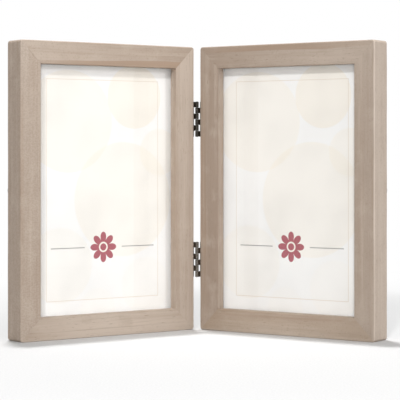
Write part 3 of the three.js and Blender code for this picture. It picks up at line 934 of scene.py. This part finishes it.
def pan_screw_mesh(name, length, material):
    """A pan head screw with its seat at y = 0 and its tip at -y."""
    crown = [(PAN_RADIUS * math.sin(a), PAN_EDGE + (PAN_HEIGHT - PAN_EDGE) * math.cos(a))
             for a in (math.radians(90 * i / CROWN_STEPS) for i in range(CROWN_STEPS, 0, -1))]
    shank = BUTTON_SCREW_RADIUS
    profile = [(TURNED_TIP, -length), (shank, 2 * shank - length), (shank, 0), (PAN_RADIUS - PAN_BREAK, 0),
               (PAN_RADIUS, PAN_BREAK), *crown, (TURNED_TIP, PAN_HEIGHT)]
    recess = cross_recess(PAN_RADIUS, PAN_HEIGHT, PAN_HEIGHT, material)
    return carve(turned(name, profile, material), [recess])


for side in SIDES:
    for edge in EDGES:
        node = f"{side}_{edge}_button_screw"
        matrix = edge_matrix(side, edge)
        low, high = box_in(matrix, node)
        under_head = high.y - PAN_HEIGHT
        mesh = pan_screw_mesh(node, under_head - low.y, zinc)
        place = shift((low.x + high.x) / 2, under_head, (low.z + high.z) / 2)
        add_piece(f"{node}_pan", mesh, matrix @ place, f"{side}_frame", node)

# The hinge leaves. Half a millimetre of steel sheet is slotted, its tongues are rolled around the pin
# to make three knuckles, and the leaf is screwed to the side of the frame. The finish is a dark bronze.
# The lower hinge is painted paler than the upper one, as painted light for the brighter reflections on its
# knuckles.
LEAF_SHEET = 0.5
LEAF_CORNER = 1.0
LEAF_EDGE = 0.05
BORE_RADIUS = 0.56
KNUCKLES = 6
KNUCKLE_GAP = 0.15
NOTCH_BACK = 0.8
ROLL_DEG = 292
ROLL_STEPS = 24
CORNER_ROWS = 5
FIRST_KNUCKLE = {"left": 0, "right": 1}

# The shades of each hinge's plating: its ground, its dark cloud and where it is rubbed. The lower hinge's
# shades are paler, as painted light.
BRONZE_SHADES_WITH_PAINTED_LIGHT = {"upper": ("#3b3935", "#2d2a28", "#49443f"), "lower": ("#645f59", "#4a4742", "#7b736a")}


def bronzed_steel(hinge):
    """Steel, plated a dark bronze: near black brown, with a faint cloud and paler rubbed streaks. The
    lower hinge's copy is painted paler, as painted light.
    """
    ground, dark, rubbed = BRONZE_SHADES_WITH_PAINTED_LIGHT[hinge]
    material, tree = new_material(f"steel_dark_bronze_plated_{hinge}")
    colour, (cloud, _) = mottled(tree, place_in_mm(tree), linear(ground), [
        ((1.2, 1.2, 1.2), 3, [(0.4, 0.7, 0.6, dark)]),
        ((0.5, 0.5, 2.5), 3, [(0.55, 0.75, 0.5, rubbed)]),
    ])
    gloss = add_node(tree, "MapRange", {"Value": cloud, "From Min": 0.3, "From Max": 0.7,
                                        "To Min": 0.32, "To Max": 0.5})
    bump = add_node(tree, "Bump", {"Height": cloud, "Strength": 0.2, "Distance": 0.03 * MM})
    surface = add_node(tree, "BsdfPrincipled", {"Base Color": colour, "Metallic": 1.0, "Roughness": gloss,
                                                "Normal": bump})
    add_node(tree, "OutputMaterial", {"Surface": surface})
    return material


def leaf_mesh(name, side, back, notch, half, material):
    """A leaf about its pin: the middle of the sheet, row by row from the back edge round the roll, then
    thickened, with its edges softened a little."""
    out = SIDES[side]
    pitch = 2 * half / KNUCKLES
    own = []
    for index in range(FIRST_KNUCKLE[side], KNUCKLES, 2):
        top = half - index * pitch
        own.append((top - pitch + KNUCKLE_GAP / 2, top - KNUCKLE_GAP / 2))
    heights = sorted({-half, half, *(height for span in own for height in span)})

    roll = BORE_RADIUS + LEAF_SHEET / 2
    corner = [y for _, y in arc((0, back - LEAF_CORNER), LEAF_CORNER, 90, 0, CORNER_ROWS)]
    plate_rows = [(roll, y) for y in (*corner, (corner[-1] + notch) / 2, notch)]
    roll_rows = arc((0, 0), roll, 0, -ROLL_DEG, ROLL_STEPS)
    bm = bmesh.new()
    rows = []
    for x, y in plate_rows + roll_rows:
        cut_in = back - y
        trim = LEAF_CORNER - math.sqrt(max(0.0, LEAF_CORNER ** 2 - max(0.0, LEAF_CORNER - cut_in) ** 2))
        trimmed = [max(trim - half, min(half - trim, height)) for height in heights]
        rows.append([bm.verts.new((out * x, y, z)) for z in trimmed])
    for number, (row, other) in enumerate(zip(rows, rows[1:])):
        for column, (low, high) in enumerate(zip(heights, heights[1:])):
            in_plate = number < len(plate_rows) - 1
            in_knuckle = any(start <= low and high <= end for start, end in own)
            if in_plate or in_knuckle:
                bm.faces.new((row[column], row[column + 1], other[column + 1], other[column]))
    bmesh.ops.delete(bm, geom=[vertex for vertex in bm.verts if not vertex.link_faces], context="VERTS")

    sheet = bpy.data.objects.new(name, mesh_from(bm, name, material))
    bpy.context.scene.collection.objects.link(sheet)
    thicken = sheet.modifiers.new("sheet", "SOLIDIFY")
    thicken.thickness = LEAF_SHEET * MM
    thicken.offset = 0
    thicken.use_even_offset = True
    soften = sheet.modifiers.new("edges", "BEVEL")
    soften.width = LEAF_EDGE * MM
    soften.segments = 2
    soften.limit_method = "ANGLE"
    return finish_faces(evaluated(sheet), SHEET_SHARP_DEG)


bronzes = {hinge: bronzed_steel(hinge) for hinge in HINGES}
for side in SIDES:
    front = box_in(stand(side), f"{side}_bottom_rail")[0].y
    for hinge in HINGES:
        node = f"{hinge}_hinge_{side}_leaf"
        bronze = bronzes[hinge]
        low, high = box_in(stand(side), node)
        mesh = leaf_mesh(node, side, high.y, front + NOTCH_BACK, (high.z - low.z) / 2, bronze)
        mesh.transform(shift(0, 0, (high.z + low.z) / 2))
        cones = [countersink(side, hinge, number, bronze) for number in LEAF_SCREWS]
        mesh = carve(mesh, cones, SHEET_SHARP_DEG)
        add_piece(f"{node}_rolled", mesh, stand(side), f"{side}_frame", node)

# The hinge pins. A length of 1 mm steel wire, cropped and domed at both ends, runs through the knuckles
# of each hinge and is held by the outer ones. The dome stops just short of its pole, at a tiny flat.
PIN_DOME = 0.25
PIN_DOME_DEG = 88
PIN_STEPS = 4
for hinge in HINGES:
    node = f"{hinge}_hinge_pin"
    low, high = box_in(stand("left"), node)
    radius, half = (high.x - low.x) / 2, (high.z - low.z) / 2
    dome = [(radius * math.cos(a), half - PIN_DOME * (1 - math.sin(a)))
            for a in (math.radians(PIN_DOME_DEG * i / PIN_STEPS) for i in range(PIN_STEPS + 1))]
    profile = [(r, -h) for r, h in reversed(dome)] + dome
    upright = shift(0, 0, (low.z + high.z) / 2) @ Matrix.Rotation(math.pi / 2, 4, "X")
    mesh = turned(node, profile, bronzes[hinge])
    add_piece(f"{node}_wire", mesh, stand("left") @ upright, "left_frame", node)

# The hinge screws. Small countersunk screws with a cross recess, two in each leaf, hold the hinges to
# the sides of the frames. Their heads lie flush, so that the frames can fold flat.
RIM_BREAK = 0.1
for side in SIDES:
    for hinge in HINGES:
        bronze = bronzes[hinge]
        for number in LEAF_SCREWS:
            node = f"{hinge}_hinge_{side}_screw_{number}"
            low, high = box_in(stand(side), node)
            profile = countersunk_profile(high.x - low.x)[:-1]
            profile += [(CONE_RADIUS - drop, drop - RIM_BREAK) for drop in (RIM_BREAK / 2, RIM_BREAK)]
            recess = cross_recess(CONE_RADIUS, CONE_HEIGHT, 0, bronze)
            mesh = carve(turned(node, profile, bronze), [recess])
            matrix = stand(side) @ head_place(side, node)
            add_piece(f"{node}_flat", mesh, matrix, f"{side}_frame", node)

# The camera. It stands about a metre off, level with the upper half of the frames, and looks straight
# ahead, with the picture shifted down to the frames. Its place is in metres from the foot of the pins.
CAMERA_BACK = 1.0044
CAMERA_RIGHT = 0.00184
CAMERA_HEIGHT = 0.10785
CAMERA_AZIMUTH_DEG = -0.44
FOCAL_PX = 1650.8
HORIZON_PX = 152.25
IMAGE_PX = 400
SENSOR_MM = 36
scene = bpy.context.scene
scene.view_settings.view_transform = "Standard"
camera = bpy.data.objects.new("camera", bpy.data.cameras.new("camera"))
scene.collection.objects.link(camera)
around_pin = Matrix.Translation(pin_foot) @ Matrix.Rotation(math.radians(CAMERA_AZIMUTH_DEG), 4, "Z")
spot = Matrix.Translation((CAMERA_RIGHT, -CAMERA_BACK, CAMERA_HEIGHT))
camera.matrix_world = around_pin @ spot @ Matrix.Rotation(math.radians(90), 4, "X")
camera.data.sensor_width = SENSOR_MM
camera.data.lens = FOCAL_PX / IMAGE_PX * SENSOR_MM
camera.data.shift_y = (HORIZON_PX - IMAGE_PX / 2) / IMAGE_PX
scene.camera = camera

# The floor. A sweep of matt white paper that the frames stand on, which takes their shadow. Its sizes are
# in metres: how far it reaches, and where it starts to fade to white and is white.
FLOOR_REACH = 3.0
FLOOR_NEAR = 0.2
FLOOR_FAR = 0.5


def seen_rays(tree):
    """1 for rays that show the white surround: straight to the camera, in a mirror or through glass."""
    seen = add_node(tree, "LightPath", {}, "Is Camera Ray")
    for ray in ("Is Glossy Ray", "Is Transmission Ray"):
        also = add_node(tree, "LightPath", {}, ray)
        seen = add_node(tree, "Math", {0: seen, 1: also}, operation="MAXIMUM")
    return seen


def white_paper_sweep():
    """Matt white paper: it shows the shadow near the frames and fades to white further off. The light
    that it throws back is that of a greyer paper, so that the frames aren't lit from below."""
    material, tree = new_material("white_paper_sweep")
    place = add_node(tree, "NewGeometry", {}, "Position")
    in_mm = add_node(tree, "VectorMath", {0: place, 1: [1 / MM] * 3}, operation="MULTIPLY")
    tone, _ = mottled(tree, in_mm, linear("#d8d8d8"), [((1.1, 1.1, 1.1), 2, [(0.3, 0.7, 1.0, "#dedede")])])
    matt = add_node(tree, "BsdfDiffuse", {"Color": tone})
    white = add_node(tree, "Emission", {"Color": linear("#ffffff"), "Strength": 1.0})
    distance = add_node(tree, "VectorMath", {0: place}, "Value", operation="LENGTH")
    far = add_node(tree, "MapRange", {"Value": distance, "From Min": FLOOR_NEAR, "From Max": FLOOR_FAR},
                   interpolation_type="SMOOTHSTEP")
    shown = add_node(tree, "MixShader", {0: far, 1: matt, 2: white})
    greyer = add_node(tree, "BsdfDiffuse", {"Color": linear("#989898")})
    surface = add_node(tree, "MixShader", {0: seen_rays(tree), 1: greyer, 2: shown})
    add_node(tree, "OutputMaterial", {"Surface": surface})
    return material


floor_bm = bmesh.new()
bmesh.ops.create_grid(floor_bm, x_segments=1, y_segments=1, size=FLOOR_REACH / MM)
floor = bpy.data.objects.new("floor", mesh_from(floor_bm, "floor", white_paper_sweep()))
scene.collection.objects.link(floor)

# The surround. White walls, as soft light from all sides: brightest at eye level, none from straight
# above, and more from the right than from the left. To the camera they are plain white.
AMBIENT = 0.82
AMBIENT_SLOPE = 0.45
BRIGHT_SIDE = (0.95, -0.31, 0)
world = bpy.data.worlds.new("white_surround")
world.use_nodes = True
sky = world.node_tree
sky.nodes.clear()
direction = add_node(sky, "TexCoord", {}, "Generated")
facing = add_node(sky, "VectorMath", {0: direction, 1: BRIGHT_SIDE}, "Value", operation="DOT_PRODUCT")
level = add_node(sky, "MapRange", {"Value": facing, "From Min": -1.0, "To Min": AMBIENT - AMBIENT_SLOPE,
                                   "To Max": AMBIENT + AMBIENT_SLOPE})
up = add_node(sky, "SeparateXYZ", {0: direction}, "Z")
steep = add_node(sky, "Math", {0: up, 1: up}, operation="MULTIPLY")
at_eye_level = add_node(sky, "Math", {0: 1.0, 1: steep}, operation="SUBTRACT")
level = add_node(sky, "Math", {0: level, 1: at_eye_level}, operation="MULTIPLY")
dim = add_node(sky, "Background", {"Color": linear("#ffffff"), "Strength": level})
white = add_node(sky, "Background", {"Color": linear("#ffffff"), "Strength": 1.0})
surround = add_node(sky, "MixShader", {0: seen_rays(sky), 1: dim, 2: white})
add_node(sky, "OutputWorld", {"Surface": surround})
scene.world = world

# The lamps. Square soft lamps stand far off, at the right, in front on the left, behind the camera and
# overhead. Their lengths are in metres.

# Each lamp: its azimuth (0 in front, + to the right) and height in degrees, its size, and the level at
# which a white face that looks straight into it renders.
LAMPS = {
    "right_lamp": (56, 18.5, 0.36, 0.14),
    "left_lamp": (-10, 30, 0.36, 0.345),
    "front_lamp": (0, 1.5, 0.4, 0.18),
    "top_lamp": (195, 81.6, 0.4, 0.75),
}
LAMP_DISTANCE = 5.6
LAMP_AIM = Vector((0, 0, 0.086))
for name, (azimuth_deg, height_deg, size, level) in LAMPS.items():
    azimuth, height = math.radians(azimuth_deg), math.radians(height_deg)
    flat = math.cos(height)
    direction = Vector((math.sin(azimuth) * flat, -math.cos(azimuth) * flat, math.sin(height)))
    light = bpy.data.objects.new(name, bpy.data.lights.new(name, "AREA"))
    scene.collection.objects.link(light)
    light.data.size = size
    light.data.energy = level * (math.pi * LAMP_DISTANCE) ** 2
    light.location = LAMP_AIM + direction * LAMP_DISTANCE
    light.rotation_euler = direction.to_track_quat("Z", "Y").to_euler()
